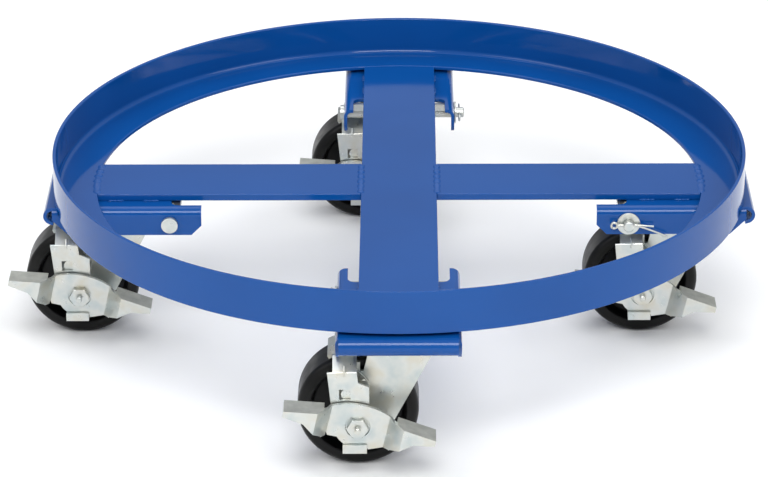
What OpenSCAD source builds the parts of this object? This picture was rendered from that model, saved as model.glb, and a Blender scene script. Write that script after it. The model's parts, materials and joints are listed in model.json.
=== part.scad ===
// Drum dolly: a rolled steel angle ring on a flat-bar cross, with four swivel casters
// that slide into folded brackets and are held by clevis pins.
// Origin on the floor below the ring's centre; +X right, +Y to the back, +Z up.

/* [Ring] */
// Outside radius of the rolled ring
ring_r = 306.4; // [270:0.1:370]
// Leg of the steel angle that the ring is rolled from
angle_leg = 38.1; // [30:0.1:50]
// Thickness of the steel angle
angle_t = 3.2; // [2:0.1:5]

/* [Cross bars] */
// Width of the flat bars
bar_w = 67; // [40:1:78]
// Thickness of the flat bars
bar_t = 6.35; // [4:0.05:10]

/* [Brackets] */
// Thickness of the bracket sheet
sheet_t = 3; // [2:0.1:4]
// Side clearance of the caster plate in its bracket
plate_play = 1.1; // [0.5:0.1:2]
// Depth of the side flanges below the bracket's top face
flange_h = 24.8; // [22:0.1:30]
// Outer bend radius of the side flanges
bend_r = 7; // [5:0.5:9]
// Chamfer at the flanges' lower inner corners
flange_cut = 9; // [4:0.5:12]
// Chamfer at the flanges' lower outer corners
lip_cut = 14; // [8:0.5:16]
// Length of the two prongs at the inner end
prong_l = 27; // [15:1:35]
// Width of a prong
prong_w = 8.75; // [8:0.25:14]
// Outer radius of the curled lip
lip_r = 8; // [7:0.1:10]
// How far the curl turns
lip_turn = 165; // [140:5:180]

/* [Caster plate] */
// Length of the plate, along the bar
plate_l = 114.3; // [100:0.1:130]
// Width of the plate
plate_w = 95.3; // [80:0.1:105]
// Thickness of the plate
plate_t = 6.35; // [4:0.05:8]
// Distance of the swivel axis from the ring's centre
swivel_r = 250.3; // [225:0.1:300]
// Floor to the top of the caster plate
caster_h = 133.4; // [128:0.1:150]

/* [Clevis pin] */
// Diameter of the pin
pin_d = 9.5; // [8:0.1:10]
// Gap between the pin and the caster plate
pin_gap = 0.2; // [0.1:0.1:1]
// Outside diameter of the washer
washer_d = 20.5; // [16:0.5:24]
// Diameter of the cotter's folded wire
cotter_d = 2.6; // [2:0.1:3]

/* [Wheel] */
// Diameter of the wheel
wheel_d = 101.6; // [90:0.1:106]
// Width of the tread
tread_w = 39; // [30:0.5:40]
// Distance of the axle behind the swivel axis
trail = 34; // [28:0.5:38]

/* [Brake] */
// How far the lever stands turned at rest
lever_rest = 12.5; // [0:0.1:16]
// Half the span of the lever
lever_reach = 64; // [56:1:68]

/* [Hidden] */
PLACES = ["right", "back", "left", "front"];
CASTER_PARTS = ["caster_plate", "kingpin", "swivel_balls", "yoke", "wheel", "wheel_bush", "axle_bolt",
                "axle_fasteners", "brake_plate", "brake_shoe", "brake_lever", "clevis_pin", "cotter_pin"];
$fn = 64;

blue = "#1f56a8";
zinc = "#c3c6c0";
black = "#1b1b1d";
steel_dark = "#8f9294";

eps = 0.01;       // overlap that makes a cut run past a face
fit = 0.05;       // radial clearance of a running fit
gap = 0.3;        // clearance between faces of parts that move apart

// Heights, from the floor up
bracket_top = caster_h + sheet_t;
seat_z = bracket_top + bar_t;
ring_z = seat_z - angle_t;
ring_in = ring_r - angle_leg;

// Bracket, measured along the bar from the ring's centre
bracket_in_w = plate_w + 2 * plate_play;
bracket_w = bracket_in_w + 2 * sheet_t;
bend_in_r = bend_r - sheet_t;
plate_in = swivel_r - plate_l / 2;
plate_out = swivel_r + plate_l / 2;
lip_c = plate_out - (lip_r - sheet_t) / 2 + 0.5;
notch_in = plate_in + 7.8;
prong_in = notch_in - prong_l;
pin_u = notch_in + 1;
pin_z = caster_h - plate_t - pin_gap - pin_d / 2;
flange_bottom = bracket_top - flange_h;
cotter_y = bracket_w / 2 + 5;
lip_w = bracket_w - 5.5;

// Swivel bearing
race_r = 22;
ball_r = 3.2;
ball_n = 18;
ball_z = caster_h - plate_t - 4.5;
crown_top = ball_z - 4.5;
crown_t = 3.5;
kingpin_r = 6.3;
nut_h = 8;

// Wheel, fork and axle
wheel_r = wheel_d / 2;
axle_z = wheel_r;
axle_r = 4.75;
hub_half = tread_w / 2 + 2.3;
leg_in = hub_half + 0.7;
leg_t = 3.5;
leg_out = leg_in + leg_t;
bush_r = 7;

// Brake, outward from the fork's near leg
shoe_y = leg_out + 1;
shoe_t = 2.5;
brake_y = leg_out + 15.5;
brake_t = 2.5;
lever_t = 3.2;
lever_y = brake_y + brake_t + gap + 1.2;
lever_front = lever_y + lever_t;
sleeve_r = 10.3;
sleeve_end = lever_front - 1.2;
head_h = 6;
head_r = 9.1;
pad_y = lever_front + 18;
pad_mid = 47;
pad_mid_z = 12.3;
pad_slope = 8;
pad_in = 31;
flare_in = 26;
flare_out = 38;
shoe_gap = 1.6;
shoe_px = -29;
shoe_pz = axle_z + 29;
shoe_pin_r = 3;

module at_caster(i) {
    rotate([0, 0, 90 * i]) translate([swivel_r, 0, 0]) rotate([0, 0, -90 * i]) children();
}

module hex_prism(r, h) {
    cylinder(r = r, h = h, $fn = 6);
}

// Lies along +Y from y = 0, for shafts across the fork
module across(r, h, r2 = -1) {
    rotate([-90, 0, 0]) cylinder(r1 = r, r2 = r2 < 0 ? r : r2, h = h);
}

module ring() {
    fillet = 3;
    toe = 1;
    color(blue) translate([0, 0, ring_z]) rotate_extrude($fn = 128) polygon(concat(
        [[ring_in, 0], [ring_r - toe, 0], [ring_r, toe], [ring_r, angle_leg - toe / 2],
         [ring_r - toe / 2, angle_leg], [ring_r - angle_t, angle_leg]],
        [for (a = [0:15:90])
            [ring_r - angle_t - fillet * (1 - cos(a)), angle_t + fillet * (1 - sin(a))]],
        [[ring_in + toe / 2, angle_t], [ring_in, angle_t - toe / 2]]));
}

module bar(length_in, length_out) {
    intersection() {
        translate([length_in, -bar_w / 2, bracket_top]) cube([length_out - length_in, bar_w, bar_t]);
        translate([0, 0, bracket_top]) cylinder(r = ring_in, h = bar_t, $fn = 128);
    }
}

module long_bar() {
    color(blue) rotate([0, 0, 90]) bar(-ring_r, ring_r);
}

module half_bar(turn) {
    color(blue) rotate([0, 0, turn]) bar(bar_w / 2, ring_r);
}

// U channel of the bracket, across the bar
module bracket_profile() {
    difference() {
        union() {
            translate([-bracket_w / 2, -flange_h]) square([bracket_w, flange_h - bend_r]);
            translate([-bracket_w / 2 + bend_r, -bend_r]) square([bracket_w - 2 * bend_r, bend_r]);
            for (s = [-1, 1]) translate([s * (bracket_w / 2 - bend_r), -bend_r]) circle(bend_r);
        }
        translate([-bracket_in_w / 2, -flange_h - eps])
            square([bracket_in_w, flange_h - sheet_t - bend_in_r + eps]);
        translate([-bracket_in_w / 2 + bend_in_r, -sheet_t - bend_in_r - eps])
            square([bracket_in_w - 2 * bend_in_r, bend_in_r + eps]);
        for (s = [-1, 1]) translate([s * (bracket_in_w / 2 - bend_in_r), -sheet_t - bend_in_r])
            circle(bend_in_r);
    }
}

// The curl at the bracket's outer end, seen from the side, with a straight run into the plate
module lip_profile() {
    reach = 3 * lip_r;
    run = 12;
    tip = 2.5;
    translate([-run, lip_r - sheet_t]) square([run, sheet_t]);
    difference() {
        circle(lip_r);
        circle(lip_r - sheet_t);
        polygon([[0, reach], [0, 0], [reach * sin(lip_turn), reach * cos(lip_turn)],
                 [reach * sin(lip_turn + 60), reach * cos(lip_turn + 60)], [-reach, 0], [-reach, reach]]);
    }
    rotate(90 - lip_turn) translate([lip_r - sheet_t, -tip]) square([sheet_t, tip]);
}

module bracket(i) {
    notch_w = bracket_w - 2 * prong_w;
    notch_c = 7;
    color(blue) rotate([0, 0, 90 * i]) {
        difference() {
            translate([prong_in, 0, bracket_top]) rotate([90, 0, 90])
                linear_extrude(lip_c - prong_in) bracket_profile();
            // notch between the prongs, with round corners
            translate([prong_in - 1, -notch_w / 2, flange_bottom - 1])
                cube([prong_l - notch_c + 1, notch_w, flange_h + 2]);
            translate([prong_in - 1, -notch_w / 2 + notch_c, flange_bottom - 1])
                cube([prong_l + 1, notch_w - 2 * notch_c, flange_h + 2]);
            for (s = [-1, 1]) translate([notch_in - notch_c, s * (notch_w / 2 - notch_c), flange_bottom - 1])
                cylinder(r = notch_c, h = flange_h + 2);
            // chamfers at the lower corners
            for (end = [[prong_in, flange_cut], [lip_c, lip_cut]])
                translate([end[0], -bracket_w, flange_bottom]) rotate([-90, 0, 0])
                    linear_extrude(2 * bracket_w)
                        polygon([[-end[1], 0], [0, -end[1]], [end[1], 0], [0, end[1]]]);
            translate([pin_u, -bracket_w, pin_z]) across(pin_d / 2 + fit, 2 * bracket_w);
        }
        translate([lip_c, lip_w / 2, bracket_top - lip_r]) rotate([90, 0, 0])
            linear_extrude(lip_w) lip_profile();
    }
}

module rounded_plate(l, w, r, h) {
    translate([-l / 2 + r, -w / 2, 0]) cube([l - 2 * r, w, h]);
    translate([-l / 2, -w / 2 + r, 0]) cube([l, w - 2 * r, h]);
    for (x = [-1, 1], y = [-1, 1]) translate([x * (l / 2 - r), y * (w / 2 - r), 0]) cylinder(r = r, h = h);
}

module slot(l, r, h) {
    for (s = [-1, 1]) translate([s * l / 2, 0, 0]) cylinder(r = r, h = h);
    translate([-l / 2, -r, 0]) cube([l, 2 * r, h]);
}

module race_groove() {
    translate([0, 0, ball_z]) rotate_extrude() translate([race_r, 0]) circle(ball_r + fit);
}

module caster_plate(i) {
    bottom = caster_h - plate_t;
    end_edge = 2;
    side_edge = bend_in_r - plate_play + 0.1;
    slot_u = plate_l / 2 - 13;
    slot_v = plate_w / 2 - 13;
    color(zinc) rotate([0, 0, 90 * i]) translate([swivel_r, 0, 0]) difference() {
        union() {
            translate([0, 0, bottom]) rounded_plate(plate_l, plate_w, 6, plate_t);
            translate([0, 0, ball_z + 0.6]) cylinder(r = race_r + 6.5, h = bottom - ball_z);
        }
        race_groove();
        translate([0, 0, ball_z]) cylinder(r = race_r - 5, h = bottom - ball_z);
        // eased top edges: the outer end sits in the curl, the sides clear the bends
        translate([plate_l / 2, -plate_w, caster_h]) rotate([-90, 0, 0]) linear_extrude(2 * plate_w)
            polygon([[-end_edge, 0], [0, -end_edge], [end_edge, 0], [0, end_edge]]);
        for (s = [-1, 1]) translate([-plate_l, s * plate_w / 2, caster_h]) rotate([90, 0, 90])
            linear_extrude(2 * plate_l)
                polygon([[-side_edge, 0], [0, -side_edge], [side_edge, 0], [0, side_edge]]);
        for (x = [-1, 1], y = [-1, 1]) translate([x * slot_u, y * slot_v, bottom - 1])
            slot(6, 5.2, plate_t + 2);
        translate([0, 0, bottom - 1]) cylinder(r = kingpin_r, h = plate_t + 2);
        translate([0, 0, caster_h - 4]) cylinder(r1 = kingpin_r, r2 = kingpin_r + 4 + eps, h = 4 + eps);
    }
}

module kingpin(i) {
    nut_top = crown_top - crown_t - fit;
    color(zinc) at_caster(i) {
        translate([0, 0, nut_top - nut_h - 2])
            cylinder(r = kingpin_r, h = caster_h - nut_top + nut_h + 2 - gap);
        translate([0, 0, caster_h - 4]) cylinder(r1 = kingpin_r, r2 = kingpin_r + 4 - gap, h = 4 - gap);
        translate([0, 0, nut_top - nut_h]) hex_prism(11, nut_h - 1.5);
        translate([0, 0, nut_top - 1.5]) cylinder(r = 11.5, h = 1.5);
    }
}

module swivel_balls(i) {
    color(steel_dark) at_caster(i) for (k = [0:ball_n - 1]) rotate([0, 0, 360 * k / ball_n])
        translate([race_r, 0, ball_z]) sphere(ball_r, $fn = 32);
}

// Outline of a fork leg: X behind the swivel axis, Z up
module leg_outline() {
    foot = axle_z - 17;
    corner = 12;
    back = -trail - 19.5;
    top = crown_top - crown_t;
    below_flange = flange_bottom - 1.5;
    front_top = 32;
    front_foot = -7.5;
    difference() {
        union() {
            polygon([[back + corner, foot], [front_foot - corner, foot], [front_foot + 4, foot + corner],
                     [front_top, top], [back + 14.5, top], [back + 14.5, below_flange + 1],
                     [back, below_flange - 9], [back, foot + corner]]);
            translate([back + corner, foot + corner]) circle(corner);
            translate([front_foot - corner + 1.5, foot + corner]) circle(corner);
        }
        translate([-trail, axle_z]) circle(axle_r + fit);
    }
}

module yoke(i) {
    crown_half = leg_out - 6;
    notch_x = -trail + 2;
    color(zinc) at_caster(i) difference() {
        union() {
            // two legs
            for (y = [-leg_out, leg_in]) translate([0, y + leg_t, 0]) rotate([90, 0, 0])
                linear_extrude(leg_t) leg_outline();
            // crown, bent down into the legs
            intersection() {
                translate([-39, 0, crown_top - 6]) rotate([90, 0, 90]) linear_extrude(71) difference() {
                    union() {
                        translate([-leg_out, 0]) square([2 * leg_out, 6 - crown_t]);
                        translate([-crown_half, 0]) square([2 * crown_half, 6]);
                        for (s = [-1, 1]) translate([s * crown_half, 0]) circle(6);
                    }
                    translate([-leg_in, -7]) square([2 * leg_in, 7 + 6 - crown_t]);
                }
                translate([-60, -60, crown_top - crown_t - 1]) cube([120, 120, 20]);
            }
            translate([0, 0, crown_top - crown_t]) cylinder(r = race_r + 8.5, h = crown_t);
            translate([0, 0, crown_top - eps]) cylinder(r = race_r + 6.5, h = ball_z - 0.6 - crown_top);
        }
        race_groove();
        translate([0, 0, crown_top]) cylinder(r = race_r - 5, h = 10);
        translate([0, 0, crown_top - 20]) cylinder(r = kingpin_r + fit, h = 30);
        // notch in the near leg's back edge that the brake shoe's arm reaches through
        translate([notch_x, -leg_out + leg_t + 1, wheel_d - 2.5]) rotate([90, 0, 0]) linear_extrude(leg_t + 2)
            polygon([[-30, 0], [0, 0], [0, -8], [3, -8], [7, 9.5], [-30, 9.5]]);
        // hole for the brake shoe's pivot
        translate([shoe_px, -leg_out - 1, shoe_pz]) across(shoe_pin_r + fit, leg_t + 2);
    }
}

module wheel(i) {
    half = tread_w / 2;
    edge = 3;
    rim_in = wheel_r - 11;
    hub_r = 16;
    web_half = 8;
    side = [[bush_r, hub_half], [hub_r - 1, hub_half], [hub_r, hub_half - 1], [hub_r + 3, web_half],
            [rim_in - 4, web_half], [rim_in, half], [wheel_r - edge, half]];
    edge_arc = [for (a = [75:-15:15]) [wheel_r - edge + edge * cos(a), half - edge + edge * sin(a)]];
    upper = concat(side, edge_arc, [[wheel_r, half - edge]]);
    lower = [for (k = [len(upper) - 1:-1:0]) [upper[k][0], -upper[k][1]]];
    color(black) at_caster(i) translate([-trail, 0, axle_z]) rotate([90, 0, 0])
        rotate_extrude($fn = 96) polygon(concat(upper, lower));
}

module wheel_bush(i) {
    half = hub_half + 0.4;
    color("#b08d57") at_caster(i) translate([-trail, -half, axle_z]) difference() {
        across(bush_r, 2 * half);
        translate([0, -1, 0]) across(axle_r + fit, 2 * half + 2);
    }
}

module axle_bolt(i) {
    end = leg_out + 11;
    nipple = 5;
    color(zinc) at_caster(i) translate([-trail, 0, axle_z]) {
        translate([0, -sleeve_end, 0]) across(axle_r, sleeve_end + end);
        translate([0, -sleeve_end, 0]) rotate([90, 0, 0]) intersection() {
            hex_prism(head_r, head_h);
            cylinder(r1 = head_r + head_h, r2 = head_r - 1, h = head_h);
        }
        translate([0, -sleeve_end - head_h - nipple, 0]) {
            across(2, nipple + 1);
            across(1.3, 1, 2.7);
            translate([0, 1, 0]) across(2.7, 1);
        }
    }
}

module axle_fasteners(i) {
    color(zinc) at_caster(i) translate([-trail, 0, axle_z]) {
        // spacer sleeve, the lever's pivot
        translate([0, -sleeve_end, 0]) difference() {
            across(sleeve_r, sleeve_end - leg_out);
            translate([0, -1, 0]) across(axle_r, sleeve_end);
        }
        // lock nut on the far leg
        translate([0, leg_out + 9, 0]) rotate([90, 0, 0]) difference() {
            union() {
                hex_prism(8.2, 9);
                translate([0, 0, 7.5]) cylinder(r = 9.5, h = 1.5);
            }
            translate([0, 0, -1]) cylinder(r = axle_r, h = 12);
        }
    }
}

// Plate on the near leg: shoulder, window, and the hook that keeps the lever on
module brake_plate(i) {
    back = -trail - 25;
    face_top = wheel_d - 3.5;
    ridge = flange_bottom - 2;
    step_z = shoe_pz + 5;
    hook_z = axle_z - 23.5;
    hook_y = lever_front + 0.8;
    strip = 20;
    color(zinc) at_caster(i) {
        difference() {
            union() {
                // front face and the strip down to the hook
                translate([0, -brake_y, 0]) rotate([90, 0, 0]) linear_extrude(brake_t) polygon([
                    [back, face_top], [back + 3.5, axle_z + 13], [-trail - 17, axle_z + 2],
                    [-trail - strip / 2 - 2.5, hook_z + 8], [-trail - strip / 2 - 2.5, hook_z],
                    [-trail + strip / 2 - 2.5, hook_z], [-trail + strip / 2 + 6, axle_z],
                    [-trail + 9.6, axle_z + 13], [-trail + 9.6, step_z], [-trail + 0.5, step_z + 4],
                    [-trail - 0.5, face_top]]);
                // shoulder, from the leg out to the front face
                translate([back + 4.5, 0, 0]) rotate([90, 0, 90]) linear_extrude(-trail - back - 5)
                    polygon([[-leg_out, ridge], [-leg_out, ridge - brake_t],
                             [-leg_out - 4.5, ridge - brake_t],
                             [-brake_y, face_top - 1], [-brake_y, face_top - 2.5],
                             [-brake_y - brake_t, face_top - 2.5], [-brake_y - brake_t, face_top],
                             [-leg_out - 5.5, ridge]]);
                // side return, back to the leg
                translate([-trail + 7.1, -brake_y, axle_z + 16]) cube([brake_t, brake_y - leg_out, 7]);
                // hook under the lever
                translate([-trail - strip / 2 - 2.5, -hook_y - 2.2, hook_z]) {
                    cube([strip, hook_y + 2.2 - brake_y, 2.2]);
                    cube([strip, 2.2, 7.5]);
                }
            }
            // window that shows the shoe's stud
            translate([-trail - 15.2, -brake_y - brake_t - 1, axle_z + 22.4]) cube([9.5, brake_t + 2, 9.5]);
            translate([-trail, -brake_y - brake_t - 1, axle_z]) across(sleeve_r + fit, brake_t + 2);
        }
    }
}

module brake_shoe(i) {
    pad_half = tread_w / 2 - 2.5;
    pad_t = 3;
    arm_x = [-trail - 14, -trail - 4];
    arm_z = wheel_d + shoe_gap + 0.6;
    color(zinc) at_caster(i) {
        // pad over the tread
        intersection() {
            translate([-trail, -pad_half, axle_z]) difference() {
                across(wheel_r + shoe_gap + pad_t, 2 * pad_half);
                translate([0, -1, 0]) across(wheel_r + shoe_gap, 2 * pad_half + 2);
            }
            translate([-trail, pad_half + 1, axle_z]) rotate([90, 0, 0]) linear_extrude(2 * pad_half + 2)
                polygon([[0, 0], [80 * cos(97), 80 * sin(97)], [80 * cos(117), 80 * sin(117)]]);
        }
        // arm through the window, then down behind the front plate
        translate([arm_x[0], -shoe_y - shoe_t, arm_z])
            cube([arm_x[1] - arm_x[0], shoe_y + shoe_t - pad_half + 1, 2]);
        translate([0, -shoe_y, 0]) rotate([90, 0, 0]) linear_extrude(shoe_t) polygon([
            [arm_x[0], arm_z + 2], [arm_x[1], arm_z + 2], [arm_x[1], arm_z - 6], [shoe_px + 4, shoe_pz + 3],
            [shoe_px + 4, shoe_pz - 4], [-trail - 15, axle_z + 22]]);
        // headed pivot, and the stud behind the window
        translate([shoe_px, -shoe_y - 1, shoe_pz]) across(shoe_pin_r, shoe_y + 1 - leg_in);
        translate([shoe_px, -shoe_y - shoe_t - 1.5, shoe_pz]) across(shoe_pin_r + 1.5, 2.5);
        translate([-trail - 8.6, -brake_y + 0.5, axle_z + 26]) across(5, brake_y - shoe_y - 1.5);
    }
}

// Height of the foot pads' top over the pivot, before the lever is turned to its rest
function pad_top(x) = pad_mid_z - (x - pad_mid) * tan(pad_slope);

// How much closer in the flare's front starts than its back, to keep the sheet's thickness
function flare_lean(run, rise) = lever_t * (norm([run, rise]) - run) / rise;

// Elevation of the lever about its pivot, before it is turned to its rest
module lever_outline() {
    arc_r = 59;
    arc_top = 20;
    half = 28;
    foot = -12.6;
    intersection() {
        translate([0, arc_top - arc_r]) circle(arc_r, $fn = 128);
        translate([-half - 1, foot]) square([2 * half + 2, 40]);
    }
    for (s = [-1, 1]) polygon([
        [0, foot], [s * half, foot], [s * (half + 18), 1.7], [s * lever_reach, 4.8],
        [s * lever_reach, pad_top(lever_reach)], [s * (half + 6), pad_top(half + 6)],
        [s * half, -foot], [0, -foot]]);
    // lug that stops against the hook
    polygon([[12.6, foot - 6.2], [half, foot], [10, foot]]);
    circle(sleeve_r + 9.3);
}

// Plan of the lever's bent strip: straight, flared out, then straight again
module lever_plan() {
    lean = flare_lean(flare_out - flare_in, pad_y - lever_front);
    for (s = [-1, 1]) polygon([
        [0, -lever_y], [s * flare_in, -lever_y], [s * flare_out, -pad_y + lever_t],
        [s * lever_reach, -pad_y + lever_t], [s * lever_reach, -pad_y],
        [s * (flare_out - lean), -pad_y], [s * (flare_in - lean), -lever_front], [0, -lever_front]]);
}

module brake_lever(i) {
    pad_t = 3;
    rise = pad_y - lever_front;
    lean = flare_lean(flare_out - flare_in, rise);
    flare_y = -lever_front - (pad_in - flare_in + lean) * rise / (flare_out - flare_in);
    color(zinc) at_caster(i) translate([-trail, 0, axle_z]) rotate([0, lever_rest, 0]) {
        difference() {
            intersection() {
                translate([0, 0, -30]) linear_extrude(60) lever_plan();
                rotate([90, 0, 0]) linear_extrude(100) lever_outline();
            }
            translate([0, -lever_front - 1, 0]) across(sleeve_r + fit, lever_t + 2);
            // notch beside the hook
            translate([-27, -lever_front - 1, -15]) rotate([0, -30, 0]) cube([4.5, lever_t + 2, 8]);
        }
        // foot pads
        for (s = [-1, 1]) intersection() {
            translate([s * pad_mid, 0, pad_mid_z]) rotate([0, s * pad_slope, 0])
                translate([-30, -pad_y, -pad_t]) cube([60, 30, pad_t]);
            linear_extrude(60, center = true) polygon([
                [s * pad_in, -lever_y], [s * lever_reach, -lever_y], [s * lever_reach, -pad_y],
                [s * (flare_out - lean), -pad_y], [s * pad_in, flare_y]]);
        }
    }
}

module clevis_pin(i) {
    head_t = 3.5;
    end = bracket_w / 2 + 8.5;
    color(zinc) rotate([0, 0, 90 * i]) translate([pin_u, 0, pin_z]) difference() {
        union() {
            translate([0, -end, 0]) across(pin_d / 2, end + bracket_w / 2 + gap);
            translate([0, -end - 1, 0]) across(pin_d / 2 - 1, 1 + eps, pin_d / 2);
            translate([0, bracket_w / 2 + gap, 0]) across(7.25, head_t);
        }
        translate([-pin_d, -cotter_y, 0]) rotate([0, 90, 0]) cylinder(r = cotter_d / 2 + fit, h = 2 * pin_d);
    }
}

// A round wire through the points, in the plane of the cotter, with a ball at each bend
module wire(points, r) {
    for (k = [1:len(points) - 1]) {
        a = points[k - 1];
        d = points[k] - a;
        translate([a[0], 0, a[1]]) rotate([0, atan2(d[0], d[1]), 0]) cylinder(r = r, h = norm(d));
        translate([points[k][0], 0, points[k][1]]) sphere(r * 1.03);
    }
}

module cotter_pin(i) {
    washer_t = 1.6;
    r = cotter_d / 2;
    leg_r = 0.68 * r;
    eye_r = 2.6;
    eye_x = -pin_d / 2 - 8;
    split_x = 6.5;
    color(zinc) rotate([0, 0, 90 * i]) translate([pin_u, 0, pin_z]) {
        translate([0, -bracket_w / 2 - gap - washer_t, 0]) difference() {
            across(washer_d / 2, washer_t);
            translate([0, -1, 0]) across(pin_d / 2 + fit, washer_t + 2);
        }
        translate([0, -cotter_y, 0]) {
            translate([eye_x, 0, 0]) rotate([90, 0, 0]) rotate_extrude()
                translate([eye_r, 0]) circle(0.8 * r);
            translate([eye_x + eye_r - 0.3, 0, 0]) rotate([0, 90, 0])
                cylinder(r = r, h = split_x + 0.5 - eye_x - eye_r);
            wire([[split_x - 1, 0.35], [22, -0.8]], leg_r);
            wire([[split_x - 1, -0.35], [14, -2.4], [34, -10.5]], leg_r);
        }
    }
}

ring();
long_bar();
half_bar(0);  // half_bar_right
half_bar(180);  // half_bar_left
for (i = [0:3]) {
    bracket(i);
    caster_plate(i);
    kingpin(i);
    swivel_balls(i);
    yoke(i);
    wheel(i);
    wheel_bush(i);
    axle_bolt(i);
    axle_fasteners(i);
    brake_plate(i);
    brake_shoe(i);
    brake_lever(i);
    clevis_pin(i);
    cotter_pin(i);
}
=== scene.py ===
import json
import math

import bmesh
import bpy
from mathutils import Matrix, Vector


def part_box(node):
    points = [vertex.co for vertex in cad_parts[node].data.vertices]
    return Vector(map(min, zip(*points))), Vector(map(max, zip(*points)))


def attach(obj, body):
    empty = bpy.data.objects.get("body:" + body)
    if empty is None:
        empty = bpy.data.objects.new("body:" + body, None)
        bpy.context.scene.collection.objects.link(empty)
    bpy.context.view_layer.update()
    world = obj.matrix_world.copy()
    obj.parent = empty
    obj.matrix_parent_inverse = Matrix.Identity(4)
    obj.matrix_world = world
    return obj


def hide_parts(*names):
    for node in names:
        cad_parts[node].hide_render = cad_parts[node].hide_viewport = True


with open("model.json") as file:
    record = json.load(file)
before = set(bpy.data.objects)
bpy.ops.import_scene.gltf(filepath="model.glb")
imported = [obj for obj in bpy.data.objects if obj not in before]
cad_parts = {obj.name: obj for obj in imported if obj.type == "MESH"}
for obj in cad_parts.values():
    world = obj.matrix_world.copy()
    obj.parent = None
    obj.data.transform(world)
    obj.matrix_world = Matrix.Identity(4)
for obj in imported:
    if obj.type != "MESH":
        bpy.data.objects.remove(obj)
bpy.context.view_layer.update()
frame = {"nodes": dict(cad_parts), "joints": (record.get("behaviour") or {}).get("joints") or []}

# Millimetres, as the drawing has them
MM = 0.001
PLACES = ("right", "back", "left", "front")

# The ring and the bars, from the frame
ring_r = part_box("ring")[1].x / MM
ring_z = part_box("ring")[0].z / MM
ring_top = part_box("ring")[1].z / MM
seat_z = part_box("long_bar")[1].z / MM
bar_top_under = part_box("long_bar")[0].z / MM
bar_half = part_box("long_bar")[1].x / MM
ring_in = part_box("long_bar")[1].y / MM
angle_t = seat_z - ring_z

# The wheel and the axle, measured from the swivel axis
joints = {j["name"]: j for j in frame["joints"]}
axle_x = (joints["roll_right"]["pos_m"][0] - joints["swivel_right"]["pos_m"][0]) / MM
axle_z = joints["roll_right"]["pos_m"][2] / MM
wheel_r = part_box("wheel_right")[1].z / MM - axle_z
hub_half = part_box("wheel_right")[1].y / MM
lever_rest = 12.5

# The clevis pin, measured out along its bar from the ring's centre
pin_u = joints["pin_turn_right"]["pos_m"][0] / MM
pin_z = joints["pin_turn_right"]["pos_m"][2] / MM
pin_r = 4.75
bracket_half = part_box("bracket_right")[1].y / MM


# ---- Materials ----

def srgb(code):
    """An sRGB hex colour as linear RGBA."""
    parts = [int(code[k:k + 2], 16) / 255 for k in (1, 3, 5)]
    return [c / 12.92 if c <= 0.04045 else ((c + 0.055) / 1.055) ** 2.4 for c in parts] + [1.0]


def add(tree, kind, inputs=(), **settings):
    """A node with its settings, and its inputs as values or as sockets to link."""
    made = tree.nodes.new(kind)
    for key, value in settings.items():
        setattr(made, key, value)
    for key, value in dict(inputs).items():
        if isinstance(value, bpy.types.NodeSocket):
            tree.links.new(value, made.inputs[key])
        else:
            made.inputs[key].default_value = value
    return made


def finish_of(name, **shader):
    """A new material, its node tree, its shader and the object coordinates."""
    material = bpy.data.materials.new(name)
    material.use_nodes = True
    tree = material.node_tree
    surface = tree.nodes["Principled BSDF"]
    for key, value in shader.items():
        surface.inputs[key.replace("_", " ")].default_value = value
    where = add(tree, "ShaderNodeTexCoord").outputs["Object"]
    return material, tree, surface, where


def patches(tree, where, size_mm, detail=2.0):
    """Soft patches of about the given size."""
    return add(tree, "ShaderNodeTexNoise", {"Vector": where, "Scale": 1000 / size_mm, "Detail": detail})


def blend(tree, surface, patch, colours, lo=0.3, hi=0.7):
    """Base colour that wanders between the colours with the patches."""
    ramp = add(tree, "ShaderNodeValToRGB", {"Fac": patch.outputs["Fac"]})
    stops = ramp.color_ramp.elements
    for _ in range(len(colours) - 2):
        stops.new(0.5)
    for k, colour in enumerate(colours):
        stops[k].position = lo + (hi - lo) * k / (len(colours) - 1)
        stops[k].color = srgb(colour)
    tree.links.new(ramp.outputs["Color"], surface.inputs["Base Color"])


def spread(tree, surface, patch, lo, hi):
    """Roughness that wanders between two values with the patches."""
    span = add(tree, "ShaderNodeMapRange", {"Value": patch.outputs["Fac"], "From Min": 0.3,
                                            "From Max": 0.7, "To Min": lo, "To Max": hi})
    tree.links.new(span.outputs["Result"], surface.inputs["Roughness"])


def relief(tree, surface, layers):
    """Bump from (height, strength, depth in mm) layers, one on the other."""
    below = None
    for height, strength, depth in layers:
        inputs = {"Height": height, "Strength": strength, "Distance": depth * MM}
        if below:
            inputs["Normal"] = below
        below = add(tree, "ShaderNodeBump", inputs).outputs["Normal"]
    tree.links.new(below, surface.inputs["Normal"])


def powder_coat():
    """Polyester powder coat, sprayed and baked on steel: deep gloss blue over an orange peel."""
    material, tree, surface, where = finish_of("powder_coat_gloss_blue", IOR=1.37)
    cloud = patches(tree, where, 120)
    blend(tree, surface, cloud, ("#07458a", "#094a92"))
    spread(tree, surface, patches(tree, where, 45), 0.05, 0.11)
    # the peel's real waves are 1 to 2 mm; 4 mm is the finest that shows
    peel = patches(tree, where, 4, 1.0)
    # slow waves of the rolled steel under the coat
    roll = patches(tree, where, 55, 0.0)
    relief(tree, surface, [(peel.outputs["Fac"], 0.25, 0.05), (roll.outputs["Fac"], 0.5, 0.5)])
    return material


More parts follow.
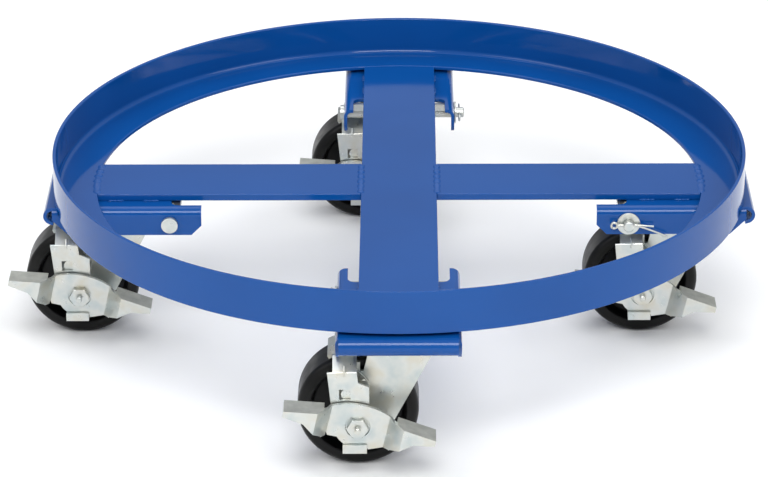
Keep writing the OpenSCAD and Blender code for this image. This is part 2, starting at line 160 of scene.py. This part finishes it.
def zinc_plate():
    """Bright zinc plate with a clear passivate on pressed steel: silver with faint warm and blue clouds."""
    material, tree, surface, where = finish_of("zinc_plate_passivated", Metallic=0.9)
    blend(tree, surface, patches(tree, where, 16), ("#bcc4c3", "#cdcfca", "#cbc8bb"))
    spread(tree, surface, patches(tree, where, 7), 0.27, 0.38)
    # rolling grain of the sheet; the real grit is 0.1 mm, drawn at 1.2 mm to show
    grain = patches(tree, where, 1.2)
    dents = patches(tree, where, 14)
    relief(tree, surface, [(grain.outputs["Fac"], 0.15, 0.05), (dents.outputs["Fac"], 0.3, 0.35)])
    return material


def zinc_grit():
    """Zinc plate on a knurled foot pad: the same silver, but blasted matte and grey."""
    material, tree, surface, where = finish_of("zinc_plate_matte", Metallic=0.55)
    blend(tree, surface, patches(tree, where, 9), ("#a9aaa2", "#bcbdb4"))
    spread(tree, surface, patches(tree, where, 4), 0.5, 0.62)
    grit = patches(tree, where, 1.0)
    relief(tree, surface, [(grit.outputs["Fac"], 0.35, 0.12)])
    return material


def hard_rubber(name, colours, rough):
    """Moulded hard rubber, black, with the soft sheen of its moulding skin."""
    material, tree, surface, where = finish_of(name, IOR=1.29)
    blend(tree, surface, patches(tree, where, 22), colours)
    spread(tree, surface, patches(tree, where, 10), rough, rough + 0.12)
    skin = patches(tree, where, 1.5)
    relief(tree, surface, [(skin.outputs["Fac"], 0.2, 0.06)])
    return material


def bearing_steel():
    """Ground ball steel under a film of grease."""
    material, tree, surface, where = finish_of("bearing_steel_ground", Metallic=1.0)
    blend(tree, surface, patches(tree, where, 5), ("#8d9092", "#a3a5a5"))
    spread(tree, surface, patches(tree, where, 3), 0.12, 0.25)
    return material


def sintered_bronze():
    """Pressed and sintered bronze, porous and soaked in oil."""
    material, tree, surface, where = finish_of("bronze_sintered", Metallic=1.0)
    blend(tree, surface, patches(tree, where, 4), ("#8d6a3c", "#a9854f"))
    spread(tree, surface, patches(tree, where, 2), 0.35, 0.5)
    pores = patches(tree, where, 0.8)
    relief(tree, surface, [(pores.outputs["Fac"], 0.3, 0.05)])
    return material


BLUE = powder_coat()
ZINC = zinc_plate()
GRIT = zinc_grit()
# TREAD and WEB_PAINTED_SHADE are one black rubber in two tones: the web is painted darker as painted shade
# in its recess, and the tread is a touch lighter as painted sheen
TREAD = hard_rubber("hard_rubber_tread", ("#0b0b0b", "#141413"), 0.30)
WEB_PAINTED_SHADE = hard_rubber("hard_rubber_web_painted_shade", ("#050506", "#09090a"), 0.34)
STEEL = bearing_steel()
BRONZE = sintered_bronze()


# ---- Making pieces ----

def below_swivel(place):
    """Millimetres from the floor below a caster's swivel axis, square to the row frame."""
    x, y, _ = joints["swivel_" + place]["pos_m"]
    return Matrix.Translation((x, y, 0)) @ Matrix.Scale(MM, 4)


def along_bar(place):
    """Millimetres from the ring's centre, with +X out along the place's bar."""
    return Matrix.Rotation(math.radians(90 * PLACES.index(place)), 4, "Z") @ Matrix.Scale(MM, 4)


def piece(name, bm, local, body, materials, nodes=(), smooth=38):
    """Turns a bmesh in local millimetres into a piece that rides on its body."""
    bm.transform(local)
    mesh = bpy.data.meshes.new(name)
    bm.to_mesh(mesh)
    bm.free()
    for material in materials:
        mesh.materials.append(material)
    mesh.polygons.foreach_set("use_smooth", [True] * len(mesh.polygons))
    mesh.set_sharp_from_angle(angle=math.radians(smooth))
    made = bpy.data.objects.new(name, mesh)
    bpy.context.collection.objects.link(made)
    shade = made.modifiers.new("even_shading", "WEIGHTED_NORMAL")
    shade.keep_sharp = True
    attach(made, body)
    if nodes:
        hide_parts(*nodes)
    return made


def cad_copy(node, local):
    """The CAD node in local millimetres, merged, with its flat faces whole."""
    bm = bmesh.new()
    bm.from_mesh(frame["nodes"][node].data)
    bmesh.ops.transform(bm, matrix=local.inverted(), verts=bm.verts)
    bmesh.ops.remove_doubles(bm, verts=bm.verts, dist=0.003)
    bmesh.ops.dissolve_limit(bm, angle_limit=math.radians(0.6), verts=bm.verts, edges=bm.edges)
    return bm


def bevel(bm, edges, radius, segments):
    """Rounds the edges."""
    bmesh.ops.bevel(bm, geom=edges, offset=radius, offset_type="OFFSET", segments=segments,
                    profile=0.5, affect="EDGES", clamp_overlap=True, material=-1)


def round_bends(bm, radius, test, segments=4):
    """Rounds the folds that the test picks by the two ends of an edge."""
    bends = [e for e in bm.edges if e.is_manifold and e.calc_face_angle() > 0.2
             and test(*[v.co for v in e.verts])]
    bevel(bm, bends, radius, segments)


def soften(bm, radius, angle=32, segments=2):
    """Eases every edge that is still sharp, as deburring and plating leave it."""
    sharp = [e for e in bm.edges if e.is_manifold and e.calc_face_angle() > math.radians(angle)]
    bevel(bm, sharp, radius, segments)


def arc(x, z, r, start, end, steps):
    """Points round a centre, from one angle to another."""
    turn = [math.radians(start + (end - start) * k / steps) for k in range(steps + 1)]
    return [(x + r * math.cos(a), z + r * math.sin(a)) for a in turn]


def turned(bm, outline, steps, matrix):
    """Spins a closed (radius, height) outline a full turn about Z, then places it."""
    verts = [bm.verts.new((r, 0, z)) for r, z in outline]
    edges = [bm.edges.new((verts[k - 1], verts[k])) for k in range(len(verts))]
    made = set(bm.verts) - set(verts)
    bmesh.ops.spin(bm, geom=verts + edges, cent=(0, 0, 0), axis=(0, 0, 1), angle=2 * math.pi,
                   steps=steps, use_merge=True)
    new = [v for v in bm.verts if v not in made]
    faces = {f for v in new for f in v.link_faces}
    bmesh.ops.transform(bm, matrix=matrix, verts=new)
    bmesh.ops.recalc_face_normals(bm, faces=list(faces))
    return faces


def station(point, along, up, wide, high):
    """Frame of one section of a swept bar."""
    along = along.normalized()
    side = along.cross(up).normalized()
    over = side.cross(along)
    turn = Matrix((side * wide, over * high, along)).transposed().to_4x4()
    return Matrix.Translation(point) @ turn


def swept(bm, points, sizes, up=Vector((0, 0, 1)), sides=12, closed=False):
    """A rod through the points. Each size is (half width, half height) of its section."""
    points = [Vector(p) for p in points]
    count = len(points)
    frames = []
    for k, point in enumerate(points):
        ahead = points[(k + 1) % count] if closed else points[min(k + 1, count - 1)]
        behind = points[k - 1] if closed or k else points[0]
        frames.append(station(point, ahead - behind, up, *sizes[k]))
    ring = bmesh.ops.create_circle(bm, segments=sides, radius=1.0, cap_ends=not closed, matrix=frames[0])
    ring = ring["verts"]
    first = ring
    made = list(ring)
    for k in range(1, count):
        loop = [e for e in bm.edges if e.verts[0] in ring and e.verts[1] in ring]
        new = bmesh.ops.extrude_edge_only(bm, edges=loop)["geom"]
        ring = [v for v in new if isinstance(v, bmesh.types.BMVert)]
        bmesh.ops.transform(bm, matrix=frames[k] @ frames[k - 1].inverted(), verts=ring)
        made += ring
    if closed:
        loop = [e for r in (ring, first) for e in bm.edges if e.verts[0] in r and e.verts[1] in r]
        bmesh.ops.bridge_loops(bm, edges=loop)
    else:
        loop = [e for e in bm.edges if e.verts[0] in ring and e.verts[1] in ring]
        bmesh.ops.contextual_create(bm, geom=loop)
    faces = list({f for v in made for f in v.link_faces})
    bmesh.ops.recalc_face_normals(bm, faces=faces)


# ---- Ring, bars and welds ----

def ring():
    """Rolled steel angle: a tall wall with a flange that turns in under the drum."""
    toe = 1.2
    fillet = 4.5
    edge = 0.5
    wall = ring_r - angle_t
    outline = [(ring_in + edge, ring_z)]
    outline += arc(ring_r - edge, ring_z + edge, edge, -90, 0, 3)
    outline += arc(ring_r - edge, ring_top - edge, edge, 0, 90, 3)
    outline += arc(wall + toe, ring_top - toe, toe, 90, 180, 4)
    outline += [(c, z) for c, z in arc(wall - fillet, seat_z + fillet, fillet, 0, -90, 6)]
    outline += arc(ring_in + toe, seat_z - toe, toe, 90, 180, 4)
    outline += arc(ring_in + edge, ring_z + edge, edge, 180, 270, 3)[:-1]
    bm = bmesh.new()
    turned(bm, outline, 240, Matrix.Identity(4))
    piece("ring_rolled_angle", bm, Matrix.Scale(MM, 4), "frame", [BLUE], ["ring"])


def bars():
    for node in ("long_bar", "half_bar_right", "half_bar_left"):
        local = Matrix.Scale(MM, 4)
        bm = cad_copy(node, local)
        soften(bm, 0.7, 50)
        piece(node + "_flat", bm, local, "frame", [BLUE], [node])


def bead(bm, points, half_width, height, pitch=2.6):
    """A weld bead with its ripples, along a line of points."""
    length = sum((b - a).length for a, b in zip(points, points[1:]))
    steps = max(int(length / pitch * 4), 8)
    track, sizes = [], []
    for k in range(steps + 1):
        s = length * k / steps
        i = 0
        while i < len(points) - 2 and s > (points[i + 1] - points[i]).length:
            s -= (points[i + 1] - points[i]).length
            i += 1
        span = points[i + 1] - points[i]
        track.append(points[i] + span * (s / span.length))
        wave = 0.5 + 0.5 * math.cos(2 * math.pi * k / 4)
        drift = 1 + 0.16 * math.sin(k * 0.37) + 0.12 * math.sin(k * 1.13)
        end = min(1.0, 0.35 + 0.3 * min(k, steps - k))
        sizes.append((half_width * drift * end * (0.9 + 0.1 * wave),
                      height * drift * end * (0.62 + 0.38 * wave)))
    swept(bm, track, sizes, sides=10)


def welds():
    """Beads on top where the bars meet each other and the ring, and stitches on the brackets."""
    bm = bmesh.new()
    for side in (-1, 1):
        x = side * (bar_half + 0.3)
        inset = bar_half - 2
        bead(bm, [Vector((x, -inset, seat_z - 0.3)), Vector((x, inset, seat_z - 0.3))], 3.0, 1.5)
    half_turn = math.degrees(math.asin((bar_half - 2) / ring_in))
    for k in range(4):
        turn = Matrix.Rotation(math.radians(90 * k), 3, "Z")
        # the long bar's ends are ground flush with the flange
        if k in (0, 2):
            line = arc(0, 0, ring_in + 0.2, -half_turn, half_turn, 10)
            bead(bm, [turn @ Vector((x, y, seat_z - 0.5)) for x, y in line], 3.6, 1.4)
        for side in (-1, 1):
            for start in (212, 243):
                y = side * (bar_half + 0.4)
                z = bar_top_under + 0.4
                bead(bm, [turn @ Vector((start, y, z)), turn @ Vector((start + 14, y, z))], 1.2, 1.1)
    piece("weld_beads", bm, Matrix.Scale(MM, 4), "frame", [BLUE], smooth=60)


# ---- Brackets, plates and pins ----

def brackets():
    for place in PLACES:
        local = along_bar(place)
        bm = cad_copy("bracket_" + place, local)
        soften(bm, 0.45, 50)
        piece("bracket_sheet_" + place, bm, local, "frame", [BLUE], ["bracket_" + place])


def caster_tops():
    for place in PLACES:
        local = along_bar(place)
        bm = cad_copy("caster_plate_" + place, local)
        soften(bm, 0.6, 50)
        piece("top_plate_" + place, bm, local, "frame", [ZINC], ["caster_plate_" + place])
        bm = cad_copy("kingpin_" + place, local)
        soften(bm, 0.5, 50)
        piece("kingpin_nut_" + place, bm, local, "frame", [ZINC], ["kingpin_" + place])


def pins():
    """Clevis pin with a flat head, washer, and a split pin with its eye and two legs."""
    cotter_v = bracket_half + 5
    washer_r = 10.25
    washer_t = 1.6
    edge = 0.5
    bore_edge = 0.4
    for place in PLACES:
        local = along_bar(place)
        body = "pin_" + place
        bm = cad_copy("clevis_pin_" + place, local)
        soften(bm, 0.7, 50, 3)
        piece("clevis_pin_round_" + place, bm, local, body, [ZINC], ["clevis_pin_" + place])
        bm = bmesh.new()
        lay = Matrix.Translation((pin_u, -bracket_half - 0.3, pin_z))
        lay = lay @ Matrix.Rotation(math.radians(90), 4, "X")
        outline = arc(pin_r + 0.45, bore_edge, bore_edge, 180, 270, 2)
        outline += arc(washer_r - edge, edge, edge, -90, 0, 3)
        outline += arc(washer_r - edge, washer_t - edge, edge, 0, 90, 3)
        outline += arc(pin_r + 0.45, washer_t - bore_edge, bore_edge, 90, 180, 2)
        turned(bm, outline, 64, lay)
        r = 1.3
        leg = 0.66 * r
        eye_x = -pin_r - 8
        y = -cotter_v
        up = Vector((0, 1, 0))
        at = lambda x, z: Vector((pin_u + x, y, pin_z + z))
        # the eye, a loop of the half-round wire
        loop = arc(eye_x, 0, 2.6, 0, 345, 23)
        swept(bm, [at(a, b) for a, b in loop], [(0.8 * r, 0.8 * r)] * len(loop), up, 10, closed=True)
        # the two halves lie together through the pin, then spread
        upper = [(eye_x + 2.0, 0.5), (eye_x + 4, 0.36), (6, 0.36), (8, 0.32), (12, 0.0),
                 (17, -0.5), (22, -0.8)]
        lower = [(eye_x + 2.0, -0.5), (eye_x + 4, -0.36), (6, -0.36), (8, -0.6), (11, -1.45), (14, -2.4),
                 (20, -4.7), (27, -7.6), (34, -10.5)]
        for half in (upper, lower):
            swept(bm, [at(a, b) for a, b in half], [(leg, leg)] * len(half), up, 10)
        piece("washer_split_pin_" + place, bm, local, body, [ZINC], ["cotter_pin_" + place])


# ---- Casters ----

def yokes():
    """Pressed fork with rounded shoulders."""
    for place in PLACES:
        local = below_swivel(place)
        bm = cad_copy("yoke_" + place, local)
        soften(bm, 0.9, 50, 3)
        piece("fork_pressed_" + place, bm, local, "fork_" + place, [ZINC], ["yoke_" + place])
        bm = cad_copy("swivel_balls_" + place, local)
        piece("swivel_ball_" + place, bm, local, "fork_" + place, [STEEL],
              ["swivel_balls_" + place])


def wheels():
    """One moulding: hub, dished web, rim and a tread with a rounded shoulder."""
    half = 19.5
    web = 7.5
    bush = 7.0
    hub = 16.0
    rim = wheel_r - 11.5
    side = arc(bush + 0.7, hub_half - 0.7, 0.7, 180, 90, 3)
    side += arc(hub - 2.0, hub_half - 2.0, 2.0, 90, 20, 4)
    side += arc(hub + 4.5, web + 3.0, 3.0, 200, 270, 4)
    side += arc(rim - 4.0, web + 3.0, 3.0, 270, 340, 4)
    side += arc(rim + 2.2, half - 1.6, 1.6, 160, 90, 4)
    side += arc(wheel_r - 6.0, half - 6.0, 6.0, 90, 0, 8)
    outline = side + [(r, -z) for r, z in reversed(side)]
    for place in PLACES:
        local = below_swivel(place)
        bm = bmesh.new()
        lay = Matrix.Translation((axle_x, 0, axle_z)) @ Matrix.Rotation(math.radians(90), 4, "X")
        turned(bm, outline, 128, lay)
        # faces inside the rim take the darker rubber as painted shade in the recessed web; the tread keeps
        # the lighter tone as painted sheen
        for face in bm.faces:
            c = face.calc_center_median() - Vector((axle_x, 0, axle_z))
            face.material_index = 1 if math.hypot(c.x, c.z) < rim + 2 else 0
        piece("wheel_moulded_" + place, bm, local, "wheel_" + place, [TREAD, WEB_PAINTED_SHADE],
              ["wheel_" + place])
        bm = cad_copy("wheel_bush_" + place, local)
        soften(bm, 0.3, 50)
        piece("bush_sintered_" + place, bm, local, "wheel_" + place, [BRONZE],
              ["wheel_bush_" + place])


def axles():
    for place in PLACES:
        local = below_swivel(place)
        for node, name, edge in (("axle_bolt_", "bolt_with_nipple_", 0.35),
                                 ("axle_fasteners_", "sleeve_and_nut_", 0.5)):
            bm = cad_copy(node + place, local)
            soften(bm, edge, 40)
            piece(name + place, bm, local, "fork_" + place, [ZINC], [node + place])


def brake_plates():
    """Folded plate on the near leg, with its rounded shoulder, window and lever hook."""
    for place in PLACES:
        local = below_swivel(place)
        bm = cad_copy("brake_plate_" + place, local)
        across = lambda a, b: abs(a.y - b.y) < 0.1 and abs(a.z - b.z) < 0.1
        # shoulder folds, which run along X above the face
        round_bends(bm, 2.3, lambda a, b: across(a, b) and a.z > 97.5 and a.y < -28)
        # rolled left side of the face
        round_bends(bm, 2.2, lambda a, b: a.y < -43.9 and b.y < -43.9 and max(a.x, b.x) < -50.9
                    and min(a.z, b.z) > 51)
        soften(bm, 0.5, 40)
        # rib pressed across the shoulder's lower fold
        swept(bm, [(-44.5, -39.5, 102.2), (-44.5, -43.4, 98.0), (-44.5, -44.0, 94.5)], [(1.2, 0.7)] * 3)
        piece("brake_face_" + place, bm, local, "fork_" + place, [ZINC],
              ["brake_plate_" + place])
        bm = cad_copy("brake_shoe_" + place, local)
        soften(bm, 0.5, 40)
        piece("shoe_pressed_" + place, bm, local, "shoe_" + place, [ZINC],
              ["brake_shoe_" + place])


def brake_levers():
    """Double foot lever: a lens-shaped face whose wings flare out to two matte foot pads."""
    for place in PLACES:
        local = below_swivel(place) @ Matrix.Translation((axle_x, 0, axle_z))
        local = local @ Matrix.Rotation(math.radians(lever_rest), 4, "Y")
        bm = cad_copy("brake_lever_" + place, local)
        upright = lambda a, b: abs(a.x - b.x) < 0.3 and abs(a.y - b.y) < 0.3
        # the flares
        round_bends(bm, 5.0, lambda a, b: upright(a, b) and 25 < abs(a.x) < 50 and abs(a.z - b.z) > 3, 5)
        soften(bm, 1.0, 40, 3)
        bm.normal_update()
        for face in bm.faces:
            on_pad = abs(face.normal.z) > 0.9 and abs(face.calc_center_median().x) > 31
            face.material_index = 1 if on_pad and face.normal.z > 0 else 0
        piece("foot_lever_" + place, bm, local, "lever_" + place, [ZINC, GRIT],
              ["brake_lever_" + place])


ring()
bars()
welds()
brackets()
caster_tops()
pins()
yokes()
wheels()
axles()
brake_plates()
brake_levers()


# ---- Studio ----

def studio():
    """A pale floor, a soft room and four raised panels."""
    bm = bmesh.new()
    bmesh.ops.create_grid(bm, x_segments=1, y_segments=1, size=20)
    mesh = bpy.data.meshes.new("studio_floor")
    bm.to_mesh(mesh)
    bm.free()
    floor = bpy.data.objects.new("studio_floor", mesh)
    bpy.context.collection.objects.link(floor)
    material, _, surface, _ = finish_of("floor_paper_white", Roughness=0.9)
    surface.inputs["Base Color"].default_value = srgb("#fbfbfa")
    surface.inputs["Specular IOR Level"].default_value = 0.1
    mesh.materials.append(material)

    world = bpy.data.worlds.new("studio_room")
    world.use_nodes = True
    bpy.context.scene.world = world
    tree = world.node_tree
    ways = add(tree, "ShaderNodeSeparateXYZ",
               {"Vector": add(tree, "ShaderNodeTexCoord").outputs["Generated"]})
    ramp = add(tree, "ShaderNodeValToRGB", {"Fac": ways.outputs["Z"]})
    ramp.color_ramp.elements[0].color = srgb("#b4b6ba")
    ramp.color_ramp.elements[1].color = srgb("#f4f6fa")
    tree.links.new(ramp.outputs["Color"], tree.nodes["Background"].inputs["Color"])
    tree.nodes["Background"].inputs["Strength"].default_value = 0.8

    for name, power, size, place in (("panel_front", 78, 1.7, (0.1, -2.9, 3.1)),
                                     ("panel_left", 30, 2.0, (-2.5, -1.5, 2.7)),
                                     ("panel_right", 36, 2.0, (2.5, -1.5, 2.7)),
                                     ("panel_back", 24, 2.4, (0.0, 1.4, 3.2))):
        lamp = bpy.data.lights.new(name, "AREA")
        lamp.shape = "SQUARE"
        lamp.size = size
        lamp.energy = power
        holder = bpy.data.objects.new(name, lamp)
        holder.location = place
        holder.rotation_mode = "QUATERNION"
        holder.rotation_quaternion = (-Vector(place)).to_track_quat("-Z", "Y")
        bpy.context.collection.objects.link(holder)


def camera():
    """A long lens at a standing person's height, looking down on the dolly."""
    lens = bpy.data.cameras.new("camera")
    lens.sensor_width = 36
    lens.lens = 164.28
    lens.clip_start = 0.05
    lens.clip_end = 60
    eye = bpy.data.objects.new("camera", lens)
    right = Vector((0.999978, 0.004859, -0.004537))
    up = Vector((0.002085, 0.418890, 0.908034))
    back = right.cross(up)
    turn = Matrix((right, up, back)).transposed().to_4x4()
    eye.matrix_world = Matrix.Translation((0.0063, -2.8586, 1.4026)) @ turn
    bpy.context.collection.objects.link(eye)
    bpy.context.scene.camera = eye


studio()
camera()
bpy.context.scene.view_settings.view_transform = "Standard"
